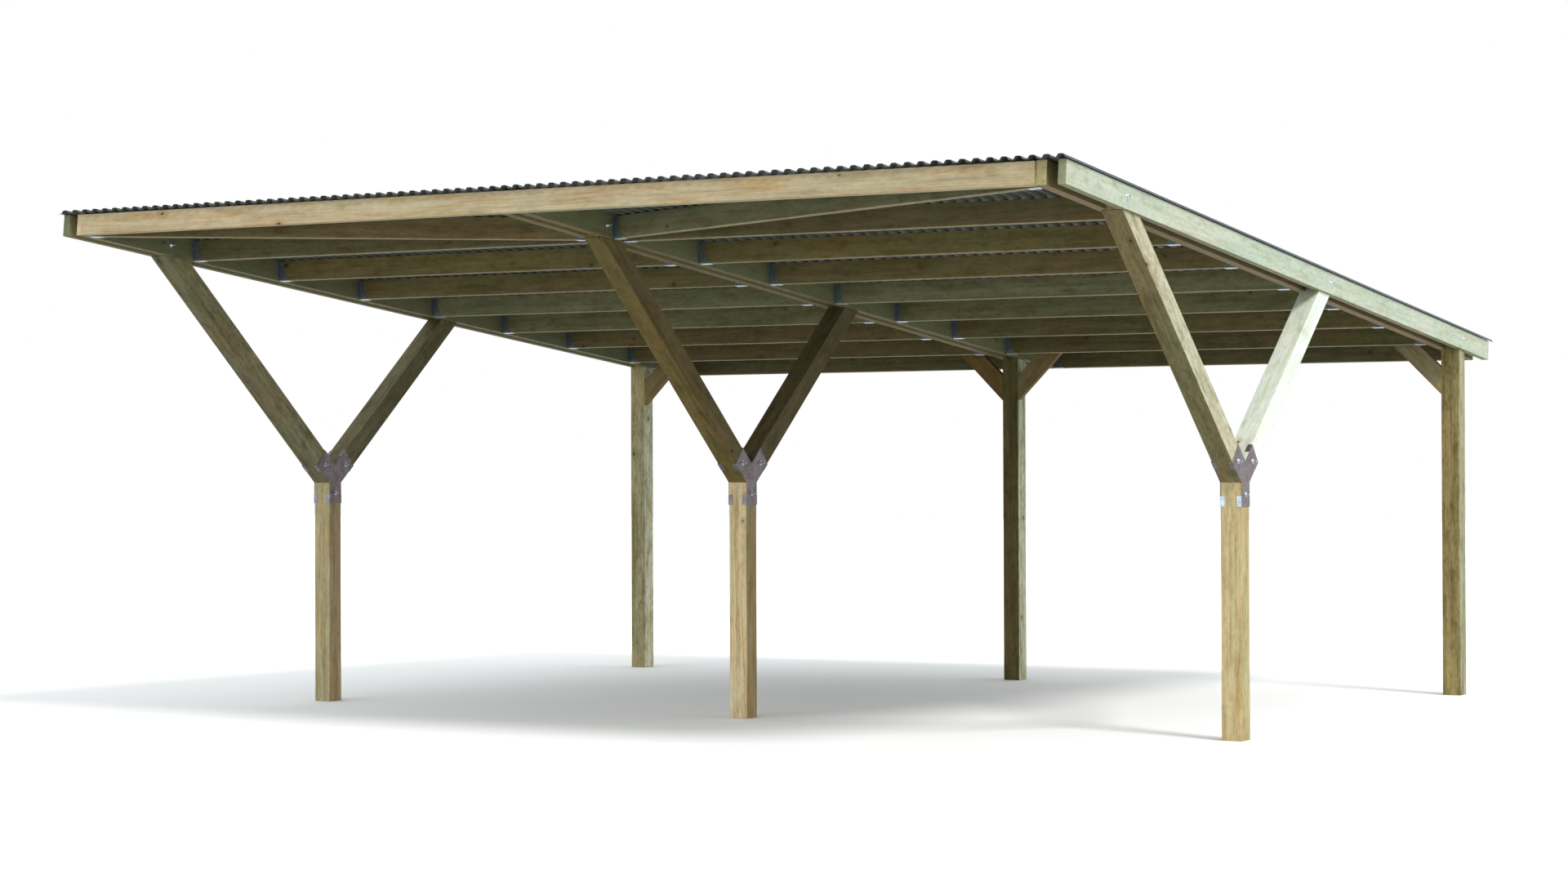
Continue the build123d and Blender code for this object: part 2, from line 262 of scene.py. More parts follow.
def lathe(profile, sides):
    """A turned piece: radius and height of the profile, carried round Z in equal steps."""
    profile = np.asarray(profile, float)
    turn = np.arange(sides) * 2 * math.pi / sides
    points = np.stack((
        profile[:, 0, None] * np.cos(turn)[None],
        profile[:, 0, None] * np.sin(turn)[None],
        np.broadcast_to(profile[:, 1, None], (len(profile), sides)),
    ), -1)
    return points.reshape(-1, 3), ring_faces(len(profile), sides)


def joined(solids):
    """One set of points and faces from several."""
    points, faces, start = [], [], 0
    for some_points, some_faces in solids:
        points.append(some_points)
        faces += [tuple(i + start for i in face) for face in some_faces]
        start += len(some_points)
    return np.concatenate(points), faces


def placed_prisms(solids):
    """Eased prisms in the shared frame, each an outline, a thickness, an origin, three axes and its ease.

    Gives all points and faces, and for each prism its normals, its wear and the points on its own axes.
    """
    shapes, normals, wears, grids = [], [], [], []
    for outline, thickness, origin, axes, ease in solids:
        local, bend, wear, faces = eased_prism(outline, thickness, ease)
        turn = np.stack(axes)
        shapes.append((np.asarray(origin) + local @ turn, faces))
        normals.append(unit(bend @ np.linalg.inv(turn).T))
        wears.append(wear)
        grids.append(local)
    return *joined(shapes), normals, wears, grids


def scattered(template, origins, frames):
    """Copies of a template: each point is an origin plus the template's point turned by its own frame."""
    points, faces = template
    origins, frames = np.asarray(origins), np.asarray(frames)
    placed = origins[:, None] + np.einsum("pk,nkj->npj", points, frames)
    shift = len(points)
    copies = [tuple(i + shift * n for i in face) for n in range(len(origins)) for face in faces]
    return placed.reshape(-1, 3), copies


def axis_frame(axis, guide=UP):
    """Three rows, x, y and z of a frame whose z is the axis."""
    z = unit(np.asarray(axis, float))
    if abs(z @ guide) > 0.95:
        guide = BACK
    x = unit(np.cross(guide, z))
    return np.stack((x, np.cross(z, x), z))


def new_object(name, data):
    item = bpy.data.objects.new(name, data)
    bpy.context.scene.collection.objects.link(item)
    return item


def new_piece(name, points, faces, material, nodes=(), normals=None, attributes=None):
    """A mesh object at the origin, riding on the frame, with its attributes set as whole arrays."""
    mesh = bpy.data.meshes.new(name)
    mesh.from_pydata(points.tolist(), [], faces)
    for title, (kind, values) in (attributes or {}).items():
        layer = mesh.attributes.new(title, kind, "POINT")
        field = {"FLOAT": "value", "FLOAT_VECTOR": "vector", "FLOAT_COLOR": "color"}[kind]
        layer.data.foreach_set(field, np.ascontiguousarray(values, np.float32).ravel())
    if normals is not None:
        mesh.shade_smooth()
        mesh.normals_split_custom_set_from_vertices(normals.tolist())
    mesh.materials.append(material)
    mesh.update()
    piece = new_object(name, mesh)
    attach(piece, "root")
    if nodes:
        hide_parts(*nodes)


# shader groups


def feed(tree, node, inputs):
    """Gives a node its inputs, which are values or the sockets they are linked from."""
    for key, value in inputs.items():
        if isinstance(value, bpy.types.NodeSocket):
            tree.links.new(value, node.inputs[key])
        else:
            node.inputs[key].default_value = value


def add(tree, kind, inputs=None, **settings):
    """A shader node with its settings and inputs."""
    node = tree.nodes.new(f"ShaderNode{kind}")
    for key, value in settings.items():
        setattr(node, key, value)
    feed(tree, node, inputs or {})
    return node


def maths(tree, operation, first, second=0.0):
    return add(tree, "Math", {0: first, 1: second}, operation=operation).outputs[0]


def times(tree, first, second):
    return maths(tree, "MULTIPLY", first, second)


def blend(tree, factor, first, second, kind="MIX"):
    node = add(tree, "Mix", {0: factor, 6: first, 7: second}, data_type="RGBA", blend_type=kind)
    return node.outputs[2]


def smooth_step(tree, value, low, high, out_low=0.0, out_high=1.0):
    node = add(tree, "MapRange", {0: value, 1: low, 2: high, 3: out_low, 4: out_high})
    node.interpolation_type = "SMOOTHSTEP"
    return node.outputs[0]


def stretched(tree, vector, scale):
    return add(tree, "VectorMath", {0: vector, 1: scale}, operation="MULTIPLY").outputs[0]


def length(tree, parts):
    """Length of a vector from its parts."""
    vector = add(tree, "CombineXYZ", parts).outputs[0]
    return add(tree, "VectorMath", {0: vector}, operation="LENGTH").outputs["Value"]


def noise(tree, vector, scale, detail=2.0, rough=0.5):
    """Noise at one scale, or stretched by three where the scale is a triple."""
    if isinstance(scale, tuple):
        vector, scale = stretched(tree, vector, scale), 1.0
    inputs = {"Vector": vector, "Scale": scale, "Detail": detail, "Roughness": rough}
    return add(tree, "TexNoise", inputs).outputs[0]


def attribute(tree, name, output="Vector"):
    return add(tree, "Attribute", attribute_name=name).outputs[output]


def cells(tree, vector, scale=1.0):
    return add(tree, "TexVoronoi", {"Vector": vector, "Scale": scale}, feature="F1").outputs


def grey(tree, value):
    return add(tree, "CombineColor", {0: value, 1: value, 2: value}).outputs[0]


def bump(tree, height, strength, distance):
    return add(tree, "Bump", {"Height": height, "Strength": strength, "Distance": distance}).outputs[0]


def group(name, inputs, outputs):
    """An empty node group with its number inputs and their defaults, and its outputs; Color is a colour."""
    tree = bpy.data.node_groups.new(name, "ShaderNodeTree")
    for title, value in inputs.items():
        tree.interface.new_socket(title, in_out="INPUT", socket_type="NodeSocketFloat").default_value = value
    for title in outputs:
        kind = "NodeSocketColor" if title == "Color" else "NodeSocketFloat"
        tree.interface.new_socket(title, in_out="OUTPUT", socket_type=kind)
    return tree, tree.nodes.new("NodeGroupInput"), tree.nodes.new("NodeGroupOutput")


def make_pine_grain():
    """Masks of sawn pine on the board's own coordinates: x along it, and the pith where y and z are 0.

    Rings are the distance from the pith, bent by slow noise and pushed out round the knots. A knot is the
    neighbourhood of a cell point, in the few cells whose random colour is low enough.
    """
    outputs = ("Rings", "Streaks", "Mottle", "Smudge", "Fibre", "Knots", "Knot Edge", "Checks")
    tree, enter, leave = group("pine_grain", {"Ring Width": 0.005, "Knot Share": 0.3}, outputs)
    grain = attribute(tree, "grain")
    cell = cells(tree, stretched(tree, grain, (7.0, 11.0, 11.0)))
    chance = add(tree, "SeparateColor", {0: cell["Color"]})
    here = maths(tree, "LESS_THAN", chance.outputs[0], enter.outputs["Knot Share"])
    wobble = maths(tree, "SUBTRACT", noise(tree, grain, (60.0, 90.0, 90.0)), 0.5)
    size = maths(tree, "ADD", times(tree, chance.outputs[1], 0.07), 0.05)
    knot = maths(tree, "ADD", cell["Distance"], times(tree, wobble, 0.06))
    knot = maths(tree, "DIVIDE", knot, size)
    core = times(tree, smooth_step(tree, knot, 1.15, 0.75), here)
    halo = times(tree, smooth_step(tree, knot, 4.0, 0.9), here)
    apart = add(tree, "SeparateXYZ", {0: grain}).outputs
    radius = length(tree, {1: apart[1], 2: apart[2]})
    bend = noise(tree, grain, (1.3, 8.0, 8.0), 3.0, 0.55)
    radius = maths(tree, "ADD", radius, times(tree, bend, 0.034))
    radius = maths(tree, "ADD", radius, times(tree, halo, 0.009))
    ring = maths(tree, "FRACT", maths(tree, "DIVIDE", radius, enter.outputs["Ring Width"]))
    late = times(tree, smooth_step(tree, ring, 0.05, 0.80), smooth_step(tree, ring, 1.0, 0.80))
    fade = noise(tree, grain, (2.0, 22.0, 22.0), 3.0, 0.6)
    late = times(tree, late, smooth_step(tree, fade, 0.36, 0.64, 0.05, 1.0))
    line = maths(tree, "SUBTRACT", noise(tree, grain, (2.6, 95.0, 95.0), 1.0, 0.4), 0.5)
    line = smooth_step(tree, maths(tree, "ABSOLUTE", line), 0.010, 0.002)
    spread = noise(tree, grain, (1.7, 9.0, 9.0), 2.0, 0.5)
    feed(tree, leave, {
        "Rings": late,
        "Streaks": noise(tree, grain, (1.6, 34.0, 34.0), 4.0, 0.62),
        "Mottle": noise(tree, grain, (24.0, 52.0, 52.0), 4.0, 0.68),
        "Smudge": noise(tree, grain, (6.5, 17.0, 17.0), 3.0, 0.66),
        "Fibre": noise(tree, grain, (14.0, 420.0, 420.0), 2.0, 0.6),
        "Knots": core,
        "Knot Edge": halo,
        "Checks": times(tree, line, smooth_step(tree, spread, 0.60, 0.70)),
    })
    return tree


WOOD_LOOKS = ("Ring Depth", "Streak Depth", "Mottle Depth", "Green", "Resin", "Ring Width", "Knot Share")


def make_treated_pine(grain_group):
    """Colour, height and roughness of pressure-treated pine on the board's own shade.

    Green salts lie in slow clouds and bloom in blotches; resin, late wood, knots and checks darken it.
    """
    defaults = dict(zip(WOOD_LOOKS, (0.35, 0.5, 0.5, 0.4, 0.3, 0.005, 0.3)))
    tree, enter, leave = group("treated_pine", defaults, ("Color", "Height", "Roughness"))
    depth = enter.outputs
    inner = {title: depth[title] for title in ("Ring Width", "Knot Share")}
    masks = add(tree, "Group", inner, node_tree=grain_group).outputs
    grain = attribute(tree, "grain")
    cloud = noise(tree, grain, (1.1, 7.0, 7.0), 3.0, 0.6)
    resin = noise(tree, grain, (2.2, 24.0, 24.0), 3.0, 0.6)

    def stain(color, mask, share, factor):
        """The colour times a factor, where the mask is and as far as the share says."""
        stained = blend(tree, 1.0, color, (*factor, 1.0), "MULTIPLY")
        return blend(tree, times(tree, mask, share), color, stained)

    color = attribute(tree, "shade", "Color")
    for source, low, high, share, factor in (
        (cloud, 0.40, 0.64, depth["Green"], (0.82, 0.98, 0.88)),
        (cloud, 0.60, 0.36, depth["Green"], (1.10, 1.03, 0.92)),
        (resin, 0.50, 0.72, depth["Resin"], (0.92, 0.70, 0.42)),
        (masks["Streaks"], 0.56, 0.30, depth["Streak Depth"], (0.60, 0.56, 0.48)),
        (masks["Streaks"], 0.50, 0.72, depth["Streak Depth"], (1.16, 1.15, 1.12)),
        (masks["Mottle"], 0.54, 0.32, depth["Mottle Depth"], (0.62, 0.62, 0.60)),
        (masks["Mottle"], 0.52, 0.74, depth["Mottle Depth"], (1.22, 1.24, 1.30)),
        (masks["Smudge"], 0.52, 0.30, depth["Mottle Depth"], (0.58, 0.54, 0.44)),
        (masks["Smudge"], 0.50, 0.74, depth["Mottle Depth"], (1.18, 1.20, 1.20)),
    ):
        color = stain(color, smooth_step(tree, source, low, high), share, factor)
    color = stain(color, masks["Rings"], depth["Ring Depth"], (0.70, 0.54, 0.36))
    fibre = smooth_step(tree, masks["Fibre"], 0.3, 0.7, 0.93, 1.05)
    color = blend(tree, 1.0, color, grey(tree, fibre), "MULTIPLY")
    color = stain(color, masks["Knot Edge"], 0.55, (0.66, 0.52, 0.36))
    color = stain(color, masks["Knots"], 0.92, (0.24, 0.14, 0.08))
    color = stain(color, masks["Checks"], 0.6, (0.28, 0.23, 0.17))
    color = stain(color, attribute(tree, "wear", "Fac"), 0.5, (1.14, 1.14, 1.14))
    rise = times(tree, masks["Rings"], 0.4)
    rise = maths(tree, "ADD", rise, times(tree, masks["Fibre"], 0.5))
    rise = maths(tree, "SUBTRACT", rise, times(tree, masks["Knots"], 0.5))
    rise = maths(tree, "SUBTRACT", rise, masks["Checks"])
    rough = smooth_step(tree, masks["Mottle"], 0.3, 0.7, 0.62, 0.82)
    feed(tree, leave, {"Color": color, "Height": rise, "Roughness": rough})
    return tree


def make_zinc():
    """Masks of galvanised steel: flakes of the zinc coat and a dull bloom over them."""
    tree, enter, leave = group("zinc_coat", {"Flake Size": 160.0}, ("Flakes", "Bloom", "Height"))
    place = add(tree, "TexCoord").outputs["Object"]
    flakes = cells(tree, place, enter.outputs["Flake Size"])
    feed(tree, leave, {
        "Flakes": add(tree, "SeparateColor", {0: flakes["Color"]}).outputs[0],
        "Bloom": noise(tree, place, 22.0, 4.0, 0.6),
        "Height": noise(tree, place, 90.0, 2.0),
    })
    return tree


def new_material(name):
    material = bpy.data.materials.new(name)
    material.use_nodes = True
    tree = material.node_tree
    return material, tree, tree.nodes["Principled BSDF"]


TREATED_PINE = make_treated_pine(make_pine_grain())
ZINC = make_zinc()


def pine(name, *looks):
    """A pine finish from the shared wood, with its looks in their order."""
    material, tree, surface = new_material(name)
    wood = add(tree, "Group", dict(zip(WOOD_LOOKS, looks)), node_tree=TREATED_PINE).outputs
    feed(tree, surface, {
        "Base Color": wood["Color"], "Roughness": wood["Roughness"], "Specular IOR Level": 0.25,
        "Normal": bump(tree, wood["Height"], 0.35, 0.002),
    })
    return material


def zinc_steel(name, dull, bright, roughness, metallic, flake=160.0):
    """Galvanised steel between a dull and a bright shade, by the piece's own share of painted light; the
    bright shade is painted light.
    """
    material, tree, surface = new_material(name)
    coat = add(tree, "Group", {"Flake Size": flake}, node_tree=ZINC).outputs
    # painted light: the bright shade is mixed in as far as the piece's lit share says
    base = blend(tree, attribute(tree, "lit_share", "Fac"), tone(*dull), tone(*bright))
    patchy = smooth_step(tree, coat["Flakes"], 0.0, 1.0, 0.86, 1.10)
    base = blend(tree, 1.0, base, grey(tree, patchy), "MULTIPLY")
    bloom = blend(tree, 1.0, base, (0.82, 0.80, 0.84, 1.0), "MULTIPLY")
    feed(tree, surface, {
        "Base Color": blend(tree, smooth_step(tree, coat["Bloom"], 0.4, 0.65), base, bloom),
        "Metallic": metallic,
        "Roughness": smooth_step(tree, coat["Bloom"], 0.3, 0.7, roughness - 0.08, roughness + 0.10),
        "Normal": bump(tree, coat["Height"], 0.1, 0.0006),
    })
    return material


def perforated_steel(name):
    """Hanger steel with staggered nail holes, drawn on the sheet's own coordinates in metres and filled with
    near black as painted shade.

    A hole is where the distance to the middle of a cell is short; every other column is half a cell along.
    """
    metallic = 0.35
    material = zinc_steel(name, (112, 124, 128), (216, 224, 230), 0.45, metallic, 260.0)
    tree = material.node_tree
    surface = tree.nodes["Principled BSDF"]
    apart = add(tree, "SeparateXYZ", {0: attribute(tree, "sheet")}).outputs
    column = maths(tree, "DIVIDE", apart[0], HOLE_WIDTH)
    odd = maths(tree, "MODULO", maths(tree, "FLOOR", column), 2.0)
    row = maths(tree, "ADD", maths(tree, "DIVIDE", apart[1], HOLE_LENGTH), times(tree, odd, 0.5))
    across = times(tree, maths(tree, "SUBTRACT", maths(tree, "FRACT", column), 0.5), HOLE_WIDTH)
    along = times(tree, maths(tree, "SUBTRACT", maths(tree, "FRACT", row), 0.5), HOLE_LENGTH)
    distance = length(tree, {0: across, 1: along})
    hole = times(tree, smooth_step(tree, distance, 0.0032, 0.0026), apart[2])
    base = surface.inputs["Base Color"].links[0].from_socket
    feed(tree, surface, {
        # painted shade: the holes are near black in place of the shaded wood behind them
        "Base Color": blend(tree, hole, base, (0.010, 0.009, 0.007, 1.0)),
        "Metallic": times(tree, maths(tree, "SUBTRACT", 1.0, hole), metallic),
    })
    return material


def roof_coat(name):
    """Dark coated sheet: dust along the ribs on top, a plainer grey-brown back coat underneath."""
    material, tree, surface = new_material(name)
    place = attribute(tree, "roof")
    cloud = smooth_step(tree, noise(tree, place, (2.5, 0.5, 1.0), 4.0, 0.6), 0.35, 0.7)
    run = noise(tree, place, (60.0, 0.7, 1.0), 3.0, 0.6)
    dust = times(tree, smooth_step(tree, run, 0.5, 0.75), 0.25)
    top = blend(tree, cloud, tone(36, 42, 52), tone(48, 56, 67))
    top = blend(tree, dust, top, tone(84, 88, 90))
    back = blend(tree, cloud, tone(84, 89, 86), tone(100, 104, 98))
    feed(tree, surface, {
        "Base Color": blend(tree, attribute(tree, "under", "Fac"), top, back),
        "Roughness": smooth_step(tree, run, 0.3, 0.7, 0.36, 0.55),
        "Normal": bump(tree, noise(tree, place, 260.0, 2.0, 0.6), 0.12, 0.0006),
        "Specular IOR Level": 0.25, "Coat Weight": 0.15, "Coat Roughness": 0.3,
    })
    return material


POST_PINE = pine("post_pine", 0.65, 0.55, 0.42, 0.30, 0.65, 0.0085, 0.18)
REAR_PINE = pine("rear_post_pine", 0.55, 0.85, 0.80, 0.50, 0.70, 0.0085, 0.22)
ARM_PINE = pine("arm_pine", 0.42, 0.65, 0.80, 0.45, 0.80, 0.0080, 0.24)
# painted sunlight: a pale, washed-out copy of the arm pine for the sunlit rear right arm
SUNLIT_ARM_PINE = pine("sunlit_arm_pine", 0.20, 0.15, 0.30, 0.35, 0.50, 0.0080, 0.16)
BEAM_PINE = pine("beam_pine", 0.22, 0.30, 0.35, 0.40, 0.25, 0.0070, 0.16)
FASCIA_PINE = pine("fascia_pine", 0.40, 0.45, 0.30, 0.30, 0.70, 0.0080, 0.04)
BOARD_PINE = pine("board_pine", 0.30, 0.60, 0.55, 0.50, 0.50, 0.0070, 0.24)
# the second shade of each steel is its painted lit shade
BRACKET_STEEL = zinc_steel("bracket_steel", (116, 107, 109), (185, 205, 216), 0.46, 0.70)
BOLT_ZINC = zinc_steel("bolt_zinc", (176, 182, 188), (214, 220, 226), 0.28, 0.9, 500.0)
HANGER_STEEL = perforated_steel("hanger_steel")
ROOF_STEEL = roof_coat("roof_steel")
SCREW_STEEL = zinc_steel("screw_steel", (52, 58, 66), (150, 156, 162), 0.4, 0.4, 500.0)

# timber

SIDE_AXES = (BACK, UP, ACROSS)
BEAM_AXES = (DOWN, SQUARE, ACROSS)
PLAN_AXES = (ACROSS, DOWN, SQUARE)
CROSS_AXES = (ACROSS, UP, -BACK)
# how far the pith may lie from the middle of a post and of a sawn board, and the run of wood
PITH_IN_POST = 0.02
PITH_OFF_BOARD = ((0.035, -0.05), (0.075, 0.05))
WOOD_RUN = 40
dice = np.random.default_rng(41)


def timber(name, solids, along, up, centre, material, boxed_heart=False):
    """One board or post from eased prisms.

    Its grain coordinates run along it, with the pith in the middle of a boxed-heart post or outside the face.
    Its colour is the main shade, turned into a face's own painted light and shade by how squarely the surface
    looks that way.
    """
    points, faces, normals, wears, _ = placed_prisms([(*solid, EASE) for solid in solids])
    along, up = unit(np.asarray(along, float)), unit(np.asarray(up, float))
    across = np.cross(up, along)
    local = (points - np.asarray(centre)) @ np.stack((along, across, up), 1)
    if boxed_heart:
        pith = dice.uniform(-PITH_IN_POST, PITH_IN_POST, 2)
    else:
        pith = dice.uniform(*PITH_OFF_BOARD) * dice.choice((-1, 1), 2)
    local += np.array((dice.uniform(0, WOOD_RUN), pith[0], pith[1]))
    lean = np.concatenate(normals)
    paint = PAINT[name]
    color = np.broadcast_to(linear(paint["main"]), lean.shape)
    # painted light and shade: each listed face turns lighter or darker as it looks the way the table gives
    for face, toward in FACES.items():
        if face in paint:
            share = np.clip(lean @ np.array(toward), 0, 1)[:, None] ** 2
            color = color * (1 - share) + linear(paint[face]) * share
    attributes = {
        "grain": ("FLOAT_VECTOR", local),
        "shade": ("FLOAT_COLOR", np.concatenate((color, np.ones((len(points), 1))), 1)),
        "wear": ("FLOAT", np.concatenate(wears)),
    }
    new_piece(f"{name}_timber", points, faces, material, (name,), lean, attributes)


def beam_line(y, height=0.0):
    """Point of the side view on the slope, a height square above the beams' underside."""
    return np.array((y, UNDERSIDE - (y - FRONT_Y) * math.tan(SLOPE) + height / math.cos(SLOPE)))


def meet_slope(point, direction, height=0.0):
    """Where a line of the side view meets the slope at a height above the beams' underside."""
    rise = beam_line(point[0], height)[1] - point[1]
    return point + direction * rise / (direction[1] + direction[0] * math.tan(SLOPE))


def arm_lines(y, side):
    """Foot, upper edge, crotch over the post's middle, and the directions along and across an arm."""
    angle = ARM_ANGLE[side]
    foot = np.array((y + POST / 2 + side * POST / 2, FRONT_POST_HEIGHT))
    along = np.array((side * math.cos(angle), math.sin(angle)))
    across = np.array((-side * math.sin(angle), math.cos(angle)))
    upper = foot + across * DEPTH
    return foot, upper, upper + along * ((y + POST / 2 - upper[0]) / along[0]), along, across


def side_solid(outline, x, width):
    """An outline of the side view, as wide as a post or a tongue and centred across."""
    return outline, width, (x - width / 2, 0, 0), SIDE_AXES


def make_posts():
    for name, x in FRAME_X.items():
        y = FRONT_POST_Y[name]
        outline = ((y, 0), (y + POST, 0), (y + POST, FRONT_POST_HEIGHT), (y, FRONT_POST_HEIGHT))
        middle = (x, y + POST / 2, 0)
        solids = [side_solid(outline, x, POST)]
        timber(f"front_post_{name}", solids, UP, BACK, middle, POST_PINE, True)
        y = REAR_POST_Y
        back = y + POST
        body = ((y, 0), (back, 0), beam_line(back), beam_line(y))
        tongue = (beam_line(y), beam_line(back), beam_line(back, TONGUE_TOP), beam_line(y, TONGUE_TOP))
        solids = [side_solid(body, x, POST), side_solid(tongue, x, TONGUE)]
        timber(f"rear_post_{name}", solids, UP, BACK, (x, y + POST / 2, 0), REAR_PINE, True)


def make_arms():
    for name, x in FRAME_X.items():
        y = FRONT_POST_Y[name]
        for side, title in ((-1, "front_arm"), (1, "rear_arm")):
            foot, upper, crotch, along, across = arm_lines(y, side)
            outer, inner = meet_slope(foot, along), meet_slope(upper, along)
            tip_outer, tip_inner = meet_slope(foot, along, TONGUE_TOP), meet_slope(upper, along, TONGUE_TOP)
            body = (foot, outer, inner, crotch, (y + POST / 2, FRONT_POST_HEIGHT))
            solids = [side_solid(body, x, POST), side_solid((outer, tip_outer, tip_inner, inner), x, TONGUE)]
            centre = np.array((x, *(foot + across * DEPTH / 2)))
            # painted sunlight: the rear right arm takes the pale copy of the arm pine
            material = SUNLIT_ARM_PINE if (name, side) == ("right", 1) else ARM_PINE
            timber(f"{title}_{name}", solids, (0, *along), (0, *across), centre, material, True)


def make_beams():
    """Six beams on edge: each outline is its length by its depth, and its thickness is across the roof."""
    for name, place, hand, width, start in (
        ("beam_left_outer", "left", -1, OUTER_BEAM, 0.0),
        ("beam_left_inner", "left", 1, INNER_BEAM, 0.0),
        ("beam_middle_left", "middle", -1, INNER_BEAM, FASCIA_BACK),
        ("beam_middle_right", "middle", 1, INNER_BEAM, FASCIA_BACK),
        ("beam_right_inner", "right", -1, INNER_BEAM, 0.0),
        ("beam_right_outer", "right", 1, OUTER_BEAM, 0.0),
    ):
        outline = ((start, 0), (BEAM_LENGTH, 0), (BEAM_LENGTH, DEPTH), (start, DEPTH))
        origin = ROOF_ORIGIN + ACROSS * (FRAME_X[place] + (TONGUE / 2 if hand > 0 else -TONGUE / 2 - width))
        centre = origin + ACROSS * width / 2 + SQUARE * DEPTH / 2
        timber(name, [(outline, width, origin, BEAM_AXES)], DOWN, SQUARE, centre, BEAM_PINE)


def roof_board(name, outlines, depth, material, along=ACROSS):
    """Boards seen in plan on the slope, each outline as thick as its board and raised to its depth."""
    solids = [(outline, depth, ROOF_ORIGIN, PLAN_AXES) for outline in outlines]
    middle = np.mean(np.asarray(outlines[0], float), axis=0)
    centre = ROOF_ORIGIN + ACROSS * middle[0] + DOWN * middle[1] + SQUARE * depth / 2
    timber(name, solids, along, SQUARE, centre, material)


def make_boards():
    left, right = INNER_FACE["left"], INNER_FACE["right"]
    fascia = ((left, -FASCIA_PROUD), (right, -FASCIA_PROUD), (right, FASCIA_BACK), (left, FASCIA_BACK))
    roof_board("front_fascia", [fascia], FASCIA_DEPTH, FASCIA_PINE)
    rows = {f"purlin_row_{number + 1}": y for number, y in enumerate(ROWS)}
    rows["rear_board"] = BEAM_LENGTH - BOARD
    for name, y in rows.items():
        lengths = [((a, y), (b, y), (b, y + BOARD), (a, y + BOARD)) for a, b in BAYS]
        roof_board(name, lengths, DEPTH, BOARD_PINE)
    for name, outer in (("left", left), ("right", right)):
        inner = INNER_FACE[f"middle_{name}"]
        skew = (BRACE_REACH - BRACE_START) / abs(inner - outer)
        half = BOARD / 2 * math.hypot(1, skew)
        near, far = (outer, BRACE_START), (inner, BRACE_REACH)
        outline = [(x, y + half * side) for (x, y), side in ((near, -1), (far, -1), (far, 1), (near, 1))]
        along = ACROSS * (inner - outer) + DOWN * (BRACE_REACH - BRACE_START)
        roof_board(f"wind_brace_{name}", [outline], DEPTH, BOARD_PINE, along)


def make_knees():
    """Knee braces at 45 degrees: each outline stands across the roof, and its thickness runs to the back."""
    roof = beam_line(REAR_POST_Y + BOARD, DEPTH)[1]
    high = KNEE_FOOT + DEPTH * math.sqrt(2)
    for name, hand in FACING.items():
        face = FRAME_X[name.split("_")[0]] + hand * POST / 2
        lower, upper = face + hand * (roof - KNEE_FOOT), face + hand * (roof - high)
        outline = ((face, KNEE_FOOT), (lower, roof), (upper, roof), (face, high))
        solid = (outline, BOARD, (0, REAR_POST_Y + BOARD, 0), CROSS_AXES)
        centre = (face, REAR_POST_Y + BOARD / 2, (KNEE_FOOT + high) / 2)
        timber(f"knee_brace_{name}", [solid], (hand, 0, 1), (-hand, 0, 1), centre, BOARD_PINE)


# steel


def steel_piece(node, solids, lit_shares, sheets, material):
    """Folded steel from eased prisms, with each one's share of painted light and its own sheet coordinates.

    The sheet coordinates are the outline's, measured from a given corner; a plain piece has none.
    """
    points, faces, normals, _, grids = placed_prisms(solids)
    sheet = []
    for local, corner in zip(grids, sheets):
        grid = np.zeros((len(local), 3))
        if corner is not None:
            grid[:, :2] = np.abs(local[:, :2] - np.asarray(corner))
            grid[:, 2] = 1.0
        sheet.append(grid)
    lit_share = np.repeat(lit_shares, [len(grid) for grid in grids])
    attributes = {"lit_share": ("FLOAT", lit_share), "sheet": ("FLOAT_VECTOR", np.concatenate(sheet))}
    new_piece(f"{node}_steel", points, faces, material, (node,), np.concatenate(normals), attributes)


def bracket_outline(y):
    """The Y of a side plate, and where its six tabs start, run and face."""
    bottom = FRONT_POST_HEIGHT - STEM_DROP
    outline = [np.array((y, bottom)), np.array((y + POST, bottom))]
    tabs = []
    for side in (1, -1):
        foot, upper, crotch, along, across = arm_lines(y, side)
        ends = [foot, foot + along * BRACKET_REACH, upper + along * BRACKET_REACH, crotch]
        outline += ends[::side]
        tabs += [(ends[1], -along, -across), (ends[2], -along, across)]
    for end, way in ((y, -1.0), (y + POST, 1.0)):
        tabs.append((np.array((end, bottom)), np.array((0.0, 1.0)), np.array((way, 0.0))))
    return outline, tabs


# painted light: how far the upper tabs take the lit shade against the dull plates, and the lower tabs of each
# bracket
UPPER_LIT_SHARE = 0.1
TAB_LIT_SHARE = {"left": 0.3, "middle": 0.15, "right": 1.0}


def make_brackets():
    for name, x in FRAME_X.items():
        y = FRONT_POST_Y[name]
        outline, tabs = bracket_outline(y)
        solids, lit_shares = [], []
        for hand in (-1, 1):
            inner = x + hand * POST / 2
            low = inner if hand > 0 else inner - PLATE
            solids.append((outline, PLATE, (low, 0, 0), SIDE_AXES, STEEL_EASE))
            lit_shares.append(0.0)
            width = PLATE + TAB_WIDTH
            low = inner + PLATE - width if hand > 0 else inner - PLATE
            for corner, along, outward in tabs:
                end = corner + along * TAB_LENGTH
                tab = (corner, end, end + outward * PLATE, corner + outward * PLATE)
                solids.append((tab, width, (low, 0, 0), SIDE_AXES, TAB_EASE))
                lit_shares.append(UPPER_LIT_SHARE if along[1] < 0 else TAB_LIT_SHARE[name])
        sheets = [None] * len(solids)
        steel_piece(f"y_bracket_{name}", solids, lit_shares, sheets, BRACKET_STEEL)


